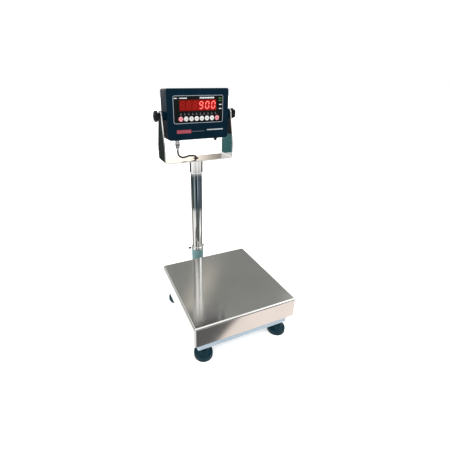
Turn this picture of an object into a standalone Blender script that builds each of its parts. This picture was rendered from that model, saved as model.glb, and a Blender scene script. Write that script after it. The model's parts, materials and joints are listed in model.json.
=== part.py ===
"""Bench scale: a square platform on four levelling feet, with a column behind it that carries a
tilting indicator in a U-shaped yoke. Metres, +Z up, floor at z = 0, front towards -Y."""

import math

import bmesh
import bpy
from mathutils import Matrix, Vector

GAP = 0.0003  # clearance between touching pieces

# Platform
PAN_SIZE = 0.305
PAN_TOP = 0.129
PAN_SKIRT = 0.060
PAN_SHEET = 0.0015
PAN_BEND = 0.0045
FRAME_WIDTH = 0.278
FRAME_RAIL = 0.030
FRAME_WALL = 0.002
FRAME_BOTTOM = 0.0385
FRAME_HEIGHT = 0.040
CHANNEL_WIDTH = 0.050
CHANNEL_Y = 0.045  # from the platform's centre, under the fixed end of the load cell
CHANNEL_DEPTH = 0.030
CHANNEL_WALL = 0.004
CELL_LENGTH, CELL_WIDTH, CELL_HEIGHT = 0.130, 0.030, 0.022
SPACER_SIZE = 0.036
LOWER_SPACER, UPPER_SPACER = 0.004, 0.003
SUPPORT_SPAN = 0.236
SUPPORT_BAR = 0.022
SUPPORT_HEIGHT = 0.013
SUPPORT_CROSS_Y = 0.062
PAD_RADIUS, PAD_HEIGHT = 0.009, 0.005
EYE_RADIUS, EYE_Y = 0.0075, 0.016  # holes through the load cell

# Feet
FOOT_X, FOOT_Y = 0.1185, 0.1235
FOOT_RADIUS = 0.026
FOOT_HEIGHT = 0.0295
STUD_RADIUS = 0.005
STUD_TOP = 0.0645
STUD_SEAT = 0.008  # height of the stud's lower end inside the foot
NUT_HEIGHT = 0.006
NUT_FLATS = 0.017
CORNERS = (
    ("front_left", -1, -1),
    ("front_right", 1, -1),
    ("rear_left", -1, 1),
    ("rear_right", 1, 1),
)

# Column
COLUMN_BEHIND = 0.223  # column axis behind the platform's centre
COLUMN_RADIUS = 0.019
COLUMN_WALL = 0.002
COLUMN_BOTTOM = 0.066
SOCKET_RADIUS = 0.0212
SOCKET_TOP = 0.1255
BRACKET_FLOOR = 0.0505
BRACKET_WALL = 0.004
BRACKET_BOLT_X, BRACKET_BOLT_Z, BRACKET_BOLT_BORE = 0.038, 0.0585, 0.0033
CABLE_ENTRY = BRACKET_FLOOR + 0.010  # height of the cable's way in from the frame
ENTRY_BORE = 0.0045
CLAMP_RADIUS, CLAMP_HEIGHT = 0.0217, 0.0115
BALL_RADIUS, BALL_X = 0.0046, -0.0305  # grip of the thumbscrew
THUMBSCREW_RADIUS = 0.0020
SLEEVE_RADIUS = 0.0217
SLEEVE_LENGTH = 0.045
SLEEVE_MOUTH, SLEEVE_LID = 0.012, 0.0035

# Yoke and indicator
YOKE_PLATE_TOP = 0.464
YOKE_WIDTH = 0.228
YOKE_DEPTH = 0.078
YOKE_SHEET = 0.003
YOKE_BEND = 0.009
PIVOT_FORWARD = 0.006  # pivot ahead of the column axis
PIVOT_Z = 0.598
ARM_END_RADIUS = 0.016
ARM_STRAIGHT = 0.045
PIVOT_BORE = 0.0048
HOUSING_WIDTH = 0.196
HOUSING_ABOVE, HOUSING_BELOW = 0.0745, 0.0695
FACE_FORWARD = 0.025  # front face ahead of the pivot
FRONT_DEPTH = 0.051
REAR_DEPTH = 0.016
HOUSING_WALL = 0.003
GASKET = 0.0014
BOSS_RADIUS, BOSS_REACH = 0.012, 0.0095
OVERLAY_WIDTH, OVERLAY_TOP, OVERLAY_BOTTOM = 0.158, 0.0555, -0.0215
OVERLAY_SHEET = 0.0012
WINDOW_WIDTH, WINDOW_TOP, WINDOW_BOTTOM = 0.116, 0.0435, 0.0135
WINDOW_X = -0.002
KEY_COUNT = 8
KEY_PITCH = 0.0166
KEY_RADIUS = 0.0069
KEY_Z = -0.0085
KEY_OUT = 0.0014
KEY_LENGTH = 0.0068
BOARD = 0.0016
MODULE_DEPTH = 0.0080
MAIN_BOARD_DEPTH = 0.030  # behind the front face
KNOB_RADIUS, KNOB_LENGTH = 0.0165, 0.0175
KNOB_LOBES, KNOB_DIP = 5, 0.0038
STUD_BORE = 0.004  # radius of the clamping stud
FITTING_X = 0.064
FITTING_Y = -0.004  # from the pivot
CONNECTOR_RADIUS, CONNECTOR_DROP = 0.0072, 0.0305
GROMMET_HOLE = 0.0068
GROMMET_FLANGE, GROMMET_LIP = 0.0016, 0.0014  # width and height of its rim
CABLE = 0.0056

platform_y = -(COLUMN_BEHIND + YOKE_DEPTH / 2 - PAN_SIZE / 2) / 2
column_y = platform_y + COLUMN_BEHIND
pivot_y = column_y - PIVOT_FORWARD
face_y = pivot_y - FACE_FORWARD
frame_top = FRAME_BOTTOM + FRAME_HEIGHT
cell_bottom = frame_top + GAP + LOWER_SPACER + GAP
cell_top = cell_bottom + CELL_HEIGHT
support_bottom = cell_top + GAP + UPPER_SPACER + GAP
support_top = support_bottom + SUPPORT_HEIGHT
housing_z = PIVOT_Z + (HOUSING_ABOVE - HOUSING_BELOW) / 2
housing_height = HOUSING_ABOVE + HOUSING_BELOW
housing_bottom = PIVOT_Z - HOUSING_BELOW
arm_inner = YOKE_WIDTH / 2 - YOKE_SHEET
wall_back = face_y + HOUSING_WALL

COLOURS = {
    "stainless": ((0.62, 0.62, 0.60), 0.28, 1.0),
    "polished": ((0.74, 0.74, 0.73), 0.10, 1.0),
    "aluminium": ((0.66, 0.67, 0.68), 0.38, 1.0),
    "zinc": ((0.58, 0.58, 0.56), 0.32, 1.0),
    "housing": ((0.010, 0.040, 0.062), 0.42, 0.0),
    "overlay": ((0.006, 0.006, 0.007), 0.30, 0.0),
    "window": ((0.20, 0.006, 0.006), 0.15, 0.0),
    "module": ((0.03, 0.03, 0.03), 0.5, 0.0),
    "board": ((0.015, 0.11, 0.045), 0.5, 0.0),
    "key_white": ((0.80, 0.80, 0.78), 0.45, 0.0),
    "key_red": ((0.72, 0.20, 0.24), 0.45, 0.0),
    "black_plastic": ((0.012, 0.012, 0.014), 0.40, 0.0),
    "rubber": ((0.012, 0.016, 0.018), 0.75, 0.0),
    "cable": ((0.010, 0.010, 0.011), 0.55, 0.0),
}


def clear_scene():
    for item in list(bpy.data.objects):
        bpy.data.objects.remove(item, do_unlink=True)


def material(kind):
    found = bpy.data.materials.get(kind)
    if found:
        return found
    colour, roughness, metallic = COLOURS[kind]
    made = bpy.data.materials.new(kind)
    made.use_nodes = True
    shader = made.node_tree.nodes["Principled BSDF"]
    shader.inputs["Base Color"].default_value = (*colour, 1.0)
    shader.inputs["Roughness"].default_value = roughness
    shader.inputs["Metallic"].default_value = metallic
    return made


def place(name, mesh_data, kind, origin=(0, 0, 0)):
    """Make an object from a bmesh in world coordinates, with its origin at the given point."""
    bmesh.ops.recalc_face_normals(mesh_data, faces=mesh_data.faces)
    bmesh.ops.translate(mesh_data, verts=mesh_data.verts, vec=-Vector(origin))
    mesh = bpy.data.meshes.new(name)
    mesh_data.to_mesh(mesh)
    mesh_data.free()
    mesh.shade_smooth()
    mesh.set_sharp_from_angle(angle=math.radians(35))
    thing = bpy.data.objects.new(name, mesh)
    thing.location = origin
    bpy.context.collection.objects.link(thing)
    if kind:
        mesh.materials.append(material(kind))
    else:
        thing.hide_render = True
        thing.display_type = "WIRE"
    return thing


def loft(loops):
    """Closed body through rings of equally many points, capped at the first and the last."""
    body = bmesh.new()
    rings = [[body.verts.new(point) for point in loop] for loop in loops]
    for low, high in zip(rings, rings[1:]):
        for i in range(len(low)):
            j = (i + 1) % len(low)
            body.faces.new((low[i], low[j], high[j], high[i]))
    body.faces.new(rings[0])
    body.faces.new(rings[-1])
    return body


def closed_ring(loops):
    """Body round a hole: the last loop joins back to the first, and no loop is capped."""
    body = loft(loops)
    body.faces.ensure_lookup_table()
    bmesh.ops.delete(body, geom=body.faces[-2:], context="FACES_ONLY")
    body.verts.ensure_lookup_table()
    count, last = len(loops[0]), len(body.verts) - len(loops[0])
    for i in range(count):
        j = (i + 1) % count
        body.faces.new([body.verts[k] for k in (last + i, last + j, j, i)])
    return body


def box(low, high):
    body = bmesh.new()
    bmesh.ops.create_cube(body, size=1.0)
    size = Vector(high) - Vector(low)
    bmesh.ops.scale(body, verts=body.verts, vec=size)
    bmesh.ops.translate(body, verts=body.verts, vec=(Vector(low) + Vector(high)) / 2)
    return body


def soften(body, width, segments=2):
    bmesh.ops.bevel(body, geom=body.edges, offset=width, segments=segments, affect="EDGES", profile=0.5)
    return body


def merged(*bodies):
    """Several bodies in one mesh, for a cutter whose bodies stay apart."""
    whole = bmesh.new()
    for body in bodies:
        mesh = bpy.data.meshes.new("piece")
        body.to_mesh(mesh)
        body.free()
        whole.from_mesh(mesh)
        bpy.data.meshes.remove(mesh)
    return whole


AXES = {
    "X": Matrix(((0, 0, 1), (1, 0, 0), (0, 1, 0))).to_4x4(),
    "Y": Matrix(((0, 1, 0), (0, 0, 1), (1, 0, 0))).to_4x4(),
    "Z": Matrix.Identity(4),
}


def turned(profile, centre, axis="Z", steps=28):
    """Solid of revolution. The profile lists (radius, height); it may touch the axis at its two ends,
    and otherwise it is a closed section of a ring."""
    body = bmesh.new()
    columns = []
    for radius, height in profile:
        count = 1 if radius < 1e-9 else steps
        turns = [2 * math.pi * k / steps for k in range(count)]
        columns.append([body.verts.new((radius * math.cos(a), radius * math.sin(a), height)) for a in turns])
    pairs = list(zip(columns, columns[1:]))
    if profile[0][0] > 1e-9:
        pairs.append((columns[-1], columns[0]))
    for low, high in pairs:
        for k in range(steps):
            n = (k + 1) % steps
            corners = [low[k % len(low)], low[n % len(low)], high[n % len(high)], high[k % len(high)]]
            unique = list(dict.fromkeys(corners))
            if len(unique) > 2:
                body.faces.new(unique)
    bmesh.ops.transform(body, matrix=Matrix.Translation(centre) @ AXES[axis], verts=body.verts)
    return body


def cylinder(radius, low, high, centre, axis="Z", steps=28):
    return turned([(0, low), (radius, low), (radius, high), (0, high)], centre, axis, steps)


def ring(outer, inner, low, high, centre, axis="Z", steps=32):
    return turned([(outer, low), (outer, high), (inner, high), (inner, low)], centre, axis, steps)


def rounded(width, height, radius, inset=0.0, steps=3, lower_radius=None):
    """Points of a rounded rectangle about the origin, the same count for every inset."""
    half_w, half_h = width / 2 - inset, height / 2 - inset
    points = []
    for corner, (sx, sy) in enumerate(((1, 1), (-1, 1), (-1, -1), (1, -1))):
        full = radius if sy > 0 or lower_radius is None else lower_radius
        bend = max(full - inset, 0.0004)
        for k in range(steps + 1):
            turn = math.pi / 2 * (corner + k / steps)
            x = sx * (half_w - bend) + bend * math.cos(turn)
            points.append((x, sy * (half_h - bend) + bend * math.sin(turn)))
    return points


def cut(target, cutter, operation="DIFFERENCE"):
    change = target.modifiers.new(cutter.name, "BOOLEAN")
    change.operation = operation
    change.object = cutter
    return target


def hexagon(across_flats, low, high, centre, axis="Z"):
    return cylinder(across_flats / math.sqrt(3), low, high, centre, axis, steps=6)


def bolt(name, centre, axis, shank_radius, shank_length, head_flats, head_height, direction=1):
    """Hex-head bolt: the head's underside is at the centre and the shank runs the other way."""
    reach = -direction * shank_length
    profile = [(0, reach), (shank_radius, reach), (shank_radius, direction * GAP), (0, direction * GAP)]
    shank = place(name, turned(profile, centre, axis, 16), "zinc", centre)
    head = hexagon(head_flats, 0, direction * head_height, centre, axis)
    return cut(shank, place("cutter_" + name, head, None), "UNION")


def pan_loop(inset, z, bend):
    return [(x, y + platform_y, z) for x, y in rounded(PAN_SIZE, PAN_SIZE, bend, inset)]


def make_pan():
    loops = []
    low = PAN_TOP - PAN_SKIRT
    for k in range(4):
        turn = math.pi / 2 * (1 - k / 3)
        inset = PAN_BEND * (1 - math.cos(turn))
        loops.append(pan_loop(inset, PAN_TOP - PAN_BEND * (1 - math.sin(turn)), PAN_BEND + 0.0005))
    loops.append(pan_loop(0, low, PAN_BEND + 0.0005))
    loops.append(pan_loop(PAN_SHEET, low, PAN_BEND + 0.0005))
    inner = PAN_BEND - PAN_SHEET
    for k in range(3):
        turn = math.pi / 2 * k / 2
        inset = PAN_SHEET + inner * (1 - math.cos(turn))
        loops.append(pan_loop(inset, PAN_TOP - PAN_BEND + inner * math.sin(turn), PAN_BEND + 0.0005))
    return place("weighing_pan", loft(loops), "stainless", (0, platform_y, PAN_TOP))


def make_frame():
    half = FRAME_WIDTH / 2
    outer = [(x, y + platform_y) for x, y in rounded(FRAME_WIDTH, FRAME_WIDTH, 0.003, steps=2)]
    inner = [(x, y + platform_y) for x, y in rounded(FRAME_WIDTH, FRAME_WIDTH, 0.003, FRAME_RAIL, steps=2)]
    levels = [(outer, FRAME_BOTTOM), (outer, frame_top), (inner, frame_top), (inner, FRAME_BOTTOM)]
    body = closed_ring([[(x, y, z) for x, y in points] for points, z in levels])
    frame = place("base_frame", body, "stainless")

    cavity = half - FRAME_WALL
    tube = FRAME_RAIL - 2 * FRAME_WALL
    z0, z1 = FRAME_BOTTOM + FRAME_WALL, frame_top - FRAME_WALL
    for side, sign in (("left", -1), ("right", 1)):
        x0, x1 = sorted((sign * cavity, sign * (cavity - tube)))
        rail = box((x0, platform_y - cavity, z0), (x1, platform_y + cavity, z1))
        cut(frame, place("cutter_rail_" + side, rail, None))
    for side, sign in (("front", -1), ("rear", 1)):
        y0, y1 = sorted((platform_y + sign * cavity, platform_y + sign * (cavity - tube)))
        rail = box((-cavity + tube - 0.001, y0, z0), (cavity - tube + 0.001, y1, z1))
        cut(frame, place("cutter_rail_" + side, rail, None))
    feet = [(sx * FOOT_X, platform_y + sy * FOOT_Y, FRAME_BOTTOM) for _, sx, sy in CORNERS]
    holes = [cylinder(STUD_RADIUS + GAP, -0.005, 0.006, centre, "Z", 16) for centre in feet]
    cut(frame, place("cutter_foot_holes", merged(*holes), None))
    rear = platform_y + half
    bolts = [(x, rear, BRACKET_BOLT_Z) for x in (-BRACKET_BOLT_X, BRACKET_BOLT_X)]
    holes = [cylinder(ENTRY_BORE, -0.035, 0.01, (0, rear, CABLE_ENTRY), "Y", 16)]
    holes += [cylinder(BRACKET_BOLT_BORE, -0.006, 0.01, centre, "Y", 16) for centre in bolts]
    return cut(frame, place("cutter_rear_holes", merged(*holes), None))


def make_channel():
    """Inverted channel across the frame, under the fixed end of the load cell."""
    middle, half = platform_y + CHANNEL_Y, CHANNEL_WIDTH / 2
    low, inside = frame_top - CHANNEL_DEPTH, half - CHANNEL_WALL
    reach = FRAME_WIDTH / 2 - FRAME_RAIL - GAP
    section = [(-half, low), (-half, frame_top), (half, frame_top), (half, low), (inside, low)]
    section += [(inside, frame_top - CHANNEL_WALL), (-inside, frame_top - CHANNEL_WALL), (-inside, low)]
    body = loft([[(x, middle + y, z) for y, z in section] for x in (-reach, reach)])
    return place("cross_channel", body, "stainless", (0, middle, frame_top))


def make_load_cell():
    centre = (0, platform_y, cell_bottom)
    side, half = CELL_WIDTH / 2, CELL_LENGTH / 2
    body = box((-side, platform_y - half, cell_bottom), (side, platform_y + half, cell_top))
    cell = place("load_cell", soften(body, 0.0006, 1), "aluminium", centre)
    middle = (cell_bottom + cell_top) / 2
    centres = [(0, platform_y + sign * EYE_Y, middle) for sign in (-1, 1)]
    eyes = [cylinder(EYE_RADIUS, -0.02, 0.02, centre, "X", 24) for centre in centres]
    slot = box((-0.02, platform_y - EYE_Y, middle - 0.002), (0.02, platform_y + EYE_Y, middle + 0.002))
    for number, eye in enumerate(eyes):
        cut(cell, place(f"cutter_eye_{number}", eye, None))
    return cut(cell, place("cutter_slot", slot, None))


def make_spacers():
    reach = SPACER_SIZE / 2
    y = platform_y + CHANNEL_Y
    low = box((-reach, y - reach, frame_top + GAP), (reach, y + reach, frame_top + GAP + LOWER_SPACER))
    place("lower_spacer", soften(low, 0.0004, 1), "aluminium")
    y = platform_y - CHANNEL_Y
    high = box((-reach, y - reach, cell_top + GAP), (reach, y + reach, cell_top + GAP + UPPER_SPACER))
    place("upper_spacer", soften(high, 0.0004, 1), "aluminium")


def make_support():
    reach = SUPPORT_SPAN / 2
    low, high = platform_y - SUPPORT_CROSS_Y, platform_y + SUPPORT_CROSS_Y
    plate = box((-0.032, low, support_bottom), (0.032, high, support_top))
    support = place("platter_support", plate, "stainless", (0, platform_y, support_bottom))
    for side, sign in (("front", -1), ("rear", 1)):
        y, end = platform_y + sign * SUPPORT_CROSS_Y, reach - 0.002
        bar = box((-end, y - SUPPORT_BAR / 2, support_bottom), (end, y + SUPPORT_BAR / 2, support_top))
        cut(support, place("cutter_cross_" + side, bar, None), "UNION")
    for side, sign in (("left", -1), ("right", 1)):
        x0, x1 = sorted((sign * reach, sign * (reach - SUPPORT_BAR)))
        bar = box((x0, platform_y - reach, support_bottom), (x1, platform_y + reach, support_top))
        cut(support, place("cutter_side_" + side, bar, None), "UNION")
    pad_reach = reach - SUPPORT_BAR / 2
    for place_name, sx, sy in CORNERS:
        centre = (sx * pad_reach, platform_y + sy * pad_reach, support_top + GAP)
        profile = [(0, 0), (PAD_RADIUS, 0), (PAD_RADIUS, PAD_HEIGHT - 0.001)]
        profile += [(PAD_RADIUS - 0.001, PAD_HEIGHT), (0, PAD_HEIGHT)]
        place("pan_pad_" + place_name, turned(profile, centre, steps=20), "rubber", centre)


def make_feet():
    r, h = FOOT_RADIUS, FOOT_HEIGHT
    hub, flange = 0.0135, 0.017
    pad = [(0, 0), (r - 0.0025, 0), (r - 0.0006, 0.0012), (r, 0.004), (r, flange - 0.003)]
    pad += [(r - 0.0012, flange - 0.0008), (r - 0.0035, flange), (hub + 0.004, flange + 0.0022)]
    pad += [(hub + 0.001, flange + 0.006), (hub, h - 0.001), (hub - 0.001, h)]
    pocket = STUD_RADIUS + GAP
    pad += [(pocket, h), (pocket, STUD_SEAT), (0, STUD_SEAT)]
    for place_name, sx, sy in CORNERS:
        centre = (sx * FOOT_X, platform_y + sy * FOOT_Y, 0)
        place("foot_pad_" + place_name, turned(pad, centre, steps=28), "rubber", centre)
        stud = [(0, STUD_SEAT + GAP), (STUD_RADIUS, STUD_SEAT + GAP), (STUD_RADIUS, STUD_TOP - 0.001)]
        stud += [(STUD_RADIUS - 0.001, STUD_TOP), (0, STUD_TOP)]
        place("foot_stud_" + place_name, turned(stud, centre, steps=16), "zinc", centre)
        low = FRAME_BOTTOM - GAP - NUT_HEIGHT
        blank = hexagon(NUT_FLATS, low, low + NUT_HEIGHT, centre)
        nut = place("foot_nut_" + place_name, blank, "zinc", centre)
        bore = cylinder(STUD_RADIUS + GAP, low - 0.001, low + NUT_HEIGHT + 0.001, centre, steps=16)
        cut(nut, place("cutter_nut_" + place_name, bore, None))


def make_column_bracket():
    rail_face = platform_y + FRAME_WIDTH / 2 + GAP
    plate = box((-0.050, rail_face, 0.0400), (0.050, rail_face + BRACKET_WALL, frame_top - 0.001))
    bracket = place("column_bracket", soften(plate, 0.0008, 1), "stainless", (0, column_y, SOCKET_TOP))
    low, high = BRACKET_FLOOR, PAN_TOP - PAN_SKIRT - 0.005  # the cheeks stay under the pan's skirt
    floor = box((-0.022, rail_face + 0.001, low), (0.022, column_y + 0.012, low + BRACKET_WALL))
    cut(bracket, place("cutter_floor", floor, None), "UNION")
    rise = high + 0.018
    outline = [(rail_face + 0.001, low), (column_y, low), (column_y, rise)]
    outline += [(column_y - 0.016, rise), (rail_face + 0.026, high), (rail_face + 0.001, high)]
    for side, x in (("left", -0.020), ("right", 0.020)):
        sides = [[(x + offset, y, z) for y, z in outline] for offset in (-0.0017, 0.0017)]
        cut(bracket, place("cutter_cheek_" + side, loft(sides), None), "UNION")
    centre = (0, column_y, 0)
    socket = cylinder(SOCKET_RADIUS, BRACKET_FLOOR, SOCKET_TOP, centre, steps=36)
    cut(bracket, place("cutter_socket", socket, None), "UNION")
    bore = COLUMN_RADIUS + GAP
    ledge = COLUMN_BOTTOM - GAP
    throat, above = 0.0155, SOCKET_TOP + 0.01
    hole = [(0, 0.040), (throat, 0.040), (throat, ledge), (bore, ledge), (bore, above), (0, above)]
    cut(bracket, place("cutter_bore", turned(hole, centre, steps=36), None))
    inlet = cylinder(ENTRY_BORE, -0.020, 0.024, (0, column_y - 0.022, CABLE_ENTRY), "Y", 16)
    cut(bracket, place("cutter_inlet", inlet, None))
    holes = [cylinder(ENTRY_BORE, -0.01, 0.01, (0, rail_face, CABLE_ENTRY), "Y", 16)]
    for x in (-BRACKET_BOLT_X, BRACKET_BOLT_X):
        holes.append(cylinder(BRACKET_BOLT_BORE, -0.01, 0.01, (x, rail_face, BRACKET_BOLT_Z), "Y", 16))
    cut(bracket, place("cutter_bracket_holes", merged(*holes), None))
    for side, sign in (("left", -1), ("right", 1)):
        seat = (sign * BRACKET_BOLT_X, rail_face + BRACKET_WALL + GAP, BRACKET_BOLT_Z)
        bolt("bracket_bolt_" + side, seat, "Y", 0.003, 0.012, 0.010, 0.004)


def make_clamp():
    low = SOCKET_TOP + GAP
    centre = (0, column_y, 0)
    outer, bore = CLAMP_RADIUS, COLUMN_RADIUS + GAP
    profile = [(outer - 0.001, low), (outer, low + 0.001), (outer, low + CLAMP_HEIGHT - 0.001)]
    profile += [(outer - 0.001, low + CLAMP_HEIGHT), (bore, low + CLAMP_HEIGHT), (bore, low)]
    clamp = place("clamp_ring", turned(profile, centre, steps=36), "zinc", centre)
    middle = low + CLAMP_HEIGHT / 2
    base, lid = low + 0.0015, low + CLAMP_HEIGHT - 0.0015
    ear = box((0.020, column_y - 0.004, base), (0.0265, column_y + 0.004, lid))
    cut(clamp, place("cutter_ear", soften(ear, 0.0008, 1), None), "UNION")
    hole = cylinder(THUMBSCREW_RADIUS + GAP, -0.030, -0.015, (0, column_y, middle), "X", 16)
    cut(clamp, place("cutter_clamp_hole", hole, None))
    tip = -(COLUMN_RADIUS + GAP)
    pivot = (0, column_y, middle)
    shank = cylinder(THUMBSCREW_RADIUS, BALL_X - 0.001, tip, pivot, "X", 16)
    place("thumbscrew_shank", shank, "zinc", pivot)
    turns = [math.pi * k / 8 for k in range(9)]
    arc = [(BALL_RADIUS * math.sin(a), BALL_X - BALL_RADIUS * math.cos(a)) for a in turns]
    sphere = place("thumbscrew_ball", turned(arc, pivot, "X", 16), "black_plastic", pivot)
    seat = cylinder(THUMBSCREW_RADIUS + GAP, BALL_X - 0.001 - GAP, 0, pivot, "X", 16)
    cut(sphere, place("cutter_ball_seat", seat, None))


def make_column():
    centre = (0, column_y, 0)
    top = YOKE_PLATE_TOP - YOKE_SHEET - GAP
    inner = COLUMN_RADIUS - COLUMN_WALL
    tube = ring(COLUMN_RADIUS, inner, COLUMN_BOTTOM, top - SLEEVE_LID - 0.0005, centre, steps=48)
    place("column_tube", tube, "polished", (0, column_y, COLUMN_BOTTOM))
    bore, low = COLUMN_RADIUS + GAP, top - SLEEVE_LENGTH
    profile = [(bore, low), (COLUMN_RADIUS + 0.0009, low), (SLEEVE_RADIUS, low + 0.003), (SLEEVE_RADIUS, top)]
    profile += [(SLEEVE_MOUTH, top), (SLEEVE_MOUTH, top - SLEEVE_LID), (bore, top - SLEEVE_LID)]
    place("top_sleeve", turned(profile, centre, steps=48), "polished", centre)


def yoke_profile(inset):
    """Half-open U in X and Z: the outer or the inner line of the sheet, left arm's end to right arm's end."""
    half = YOKE_WIDTH / 2 - inset
    low = YOKE_PLATE_TOP - YOKE_SHEET + inset
    bend = YOKE_BEND - inset
    top = PIVOT_Z + ARM_END_RADIUS + 0.01
    points = [(-half, top)]
    for sign, first in ((-1, math.pi), (1, 1.5 * math.pi)):
        for k in range(5):
            turn = first + math.pi / 2 * k / 4
            points.append((sign * (half - bend) + bend * math.cos(turn), low + bend + bend * math.sin(turn)))
    points.append((half, top))
    return points


def make_yoke():
    outline = yoke_profile(0) + yoke_profile(YOKE_SHEET)[::-1]
    y0, y1 = column_y - YOKE_DEPTH / 2, column_y + YOKE_DEPTH / 2
    sheet = loft([[(x, y, z) for x, z in outline] for y in (y0, y1)])
    yoke = place("yoke", sheet, "polished", (0, pivot_y, PIVOT_Z))
    shoulder = YOKE_PLATE_TOP + ARM_STRAIGHT
    r = ARM_END_RADIUS
    side = [(y0, YOKE_PLATE_TOP - 0.01), (y1, YOKE_PLATE_TOP - 0.01), (y1, shoulder)]
    side += [
        (pivot_y + r * math.cos(math.radians(a)), PIVOT_Z + r * math.sin(math.radians(a)))
        for a in range(-10, 191, 20)
    ]
    side.append((y0, shoulder))
    mask = loft([[(x, y, z) for y, z in side] for x in (-0.13, 0.13)])
    cut(yoke, place("cutter_arm_shape", mask, None), "INTERSECT")
    bore = cylinder(PIVOT_BORE, -0.13, 0.13, (0, pivot_y, PIVOT_Z), "X", 24)
    cut(yoke, place("cutter_pivot", bore, None))
    hole = cylinder(GROMMET_HOLE, YOKE_PLATE_TOP - 0.01, YOKE_PLATE_TOP + 0.01, (0, column_y, 0), "Z", 32)
    cut(yoke, place("cutter_grommet_hole", hole, None))
    make_grommet()
    for side_name, sign in (("left", -1), ("right", 1)):
        boss = HOUSING_WIDTH / 2 + BOSS_REACH + GAP
        inner, outer = sorted((sign * boss, sign * (arm_inner - GAP)))
        washer = ring(0.0145, PIVOT_BORE, inner, outer, (0, pivot_y, PIVOT_Z), "X", 24)
        place("friction_washer_" + side_name, washer, "rubber", (0, pivot_y, PIVOT_Z))


def make_grommet():
    top, low = YOKE_PLATE_TOP + GAP, YOKE_PLATE_TOP - YOKE_SHEET - 0.0025
    neck, lip, bore = GROMMET_HOLE - GAP, GROMMET_HOLE + GROMMET_FLANGE, CABLE / 2 + GAP
    profile = [(bore, low), (neck - 0.0005, low), (neck, low + 0.0005), (neck, top), (lip, top)]
    profile += [(lip, top + 0.0006), (lip - 0.0008, top + GROMMET_LIP)]
    profile += [(bore + 0.0006, top + GROMMET_LIP), (bore, top + GROMMET_LIP - 0.0006)]
    grommet = turned(profile, (0, column_y, 0), steps=20)
    place("cable_grommet", grommet, "rubber", (0, column_y, YOKE_PLATE_TOP))


def housing_loop(inset, y, radius=0.0055, lower=0.010):
    points = rounded(HOUSING_WIDTH, housing_height, radius, inset, 4, lower)
    return [(x, y, z + housing_z) for x, z in points]


def rim(depth):
    return face_y + depth


def make_front_housing():
    wall, edge = HOUSING_WALL, 0.0025
    turns = (0, 0.8, math.pi / 2)
    loops = [housing_loop(edge * (1 - math.sin(a)), rim(edge * (1 - math.cos(a)))) for a in turns]
    loops += [housing_loop(0, rim(FRONT_DEPTH)), housing_loop(wall, rim(FRONT_DEPTH))]
    loops.append(housing_loop(wall, wall_back))
    housing = place("front_housing", loft(loops), "housing", (0, pivot_y, PIVOT_Z))
    middle = (OVERLAY_TOP + OVERLAY_BOTTOM) / 2
    height = OVERLAY_TOP - OVERLAY_BOTTOM
    recess = [
        [(x, y, z + PIVOT_Z + middle) for x, z in rounded(OVERLAY_WIDTH, height, 0.005, -GAP, 4)]
        for y in (face_y - 0.01, face_y + OVERLAY_SHEET)
    ]
    cut(housing, place("cutter_overlay", loft(recess), None))
    cut(housing, place("cutter_window", window_block(GAP, face_y - 0.01, face_y + 0.01), None))
    holes = [key_hole(number, KEY_RADIUS + GAP) for number in range(KEY_COUNT)]
    cut(housing, place("cutter_keys", merged(*holes), None))
    for side, sign in (("left", -1), ("right", 1)):
        root, face = HOUSING_WIDTH / 2 - wall - 0.004, HOUSING_WIDTH / 2 + BOSS_REACH
        low, high = sorted((sign * root, sign * face))
        boss = cylinder(BOSS_RADIUS, low, high, (0, pivot_y, PIVOT_Z), "X", 32)
        cut(housing, place("cutter_boss_" + side, boss, None), "UNION")
    spans = ((-0.12, -0.08), (0.08, 0.12))
    axis = (0, pivot_y, PIVOT_Z)
    threads = [cylinder(STUD_BORE + GAP, low, high, axis, "X", 20) for low, high in spans]
    cut(housing, place("cutter_threads", merged(*threads), None))
    holes = []
    for x, radius in ((-FITTING_X, 0.0045 + GAP), (FITTING_X, 0.0032 + GAP)):
        holes.append(cylinder(radius, -0.006, 0.006, (x, pivot_y + FITTING_Y, housing_bottom), "Z", 20))
    return cut(housing, place("cutter_fittings", merged(*holes), None))


def key_x(number):
    return (number - (KEY_COUNT - 1) / 2) * KEY_PITCH + 0.0012


def key_hole(number, radius):
    return cylinder(radius, -0.01, 0.01, (key_x(number), face_y, PIVOT_Z + KEY_Z), "Y", 20)


def window_block(inset, y0, y1):
    half = WINDOW_WIDTH / 2 + inset
    low, high = PIVOT_Z + WINDOW_BOTTOM - inset, PIVOT_Z + WINDOW_TOP + inset
    return box((WINDOW_X - half, y0, low), (WINDOW_X + half, y1, high))


def make_rear_cover():
    wall, inset = HOUSING_WALL, 0.0008
    start = rim(FRONT_DEPTH + GAP)
    end = start + GASKET
    section = ((inset, start), (inset, end), (wall, end), (wall, start))
    gasket = closed_ring([housing_loop(inward, y) for inward, y in section])
    place("housing_gasket", gasket, "rubber", (0, end, PIVOT_Z))

    start, edge = end + GAP, 0.004
    back = start + REAR_DEPTH
    loops = [housing_loop(wall, back - wall), housing_loop(wall, start), housing_loop(0, start)]
    for a in (0, 0.8, math.pi / 2):
        loops.append(housing_loop(edge * (1 - math.cos(a)), back - edge * (1 - math.sin(a))))
    return place("rear_cover", loft(loops), "housing", (0, start, PIVOT_Z))


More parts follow.
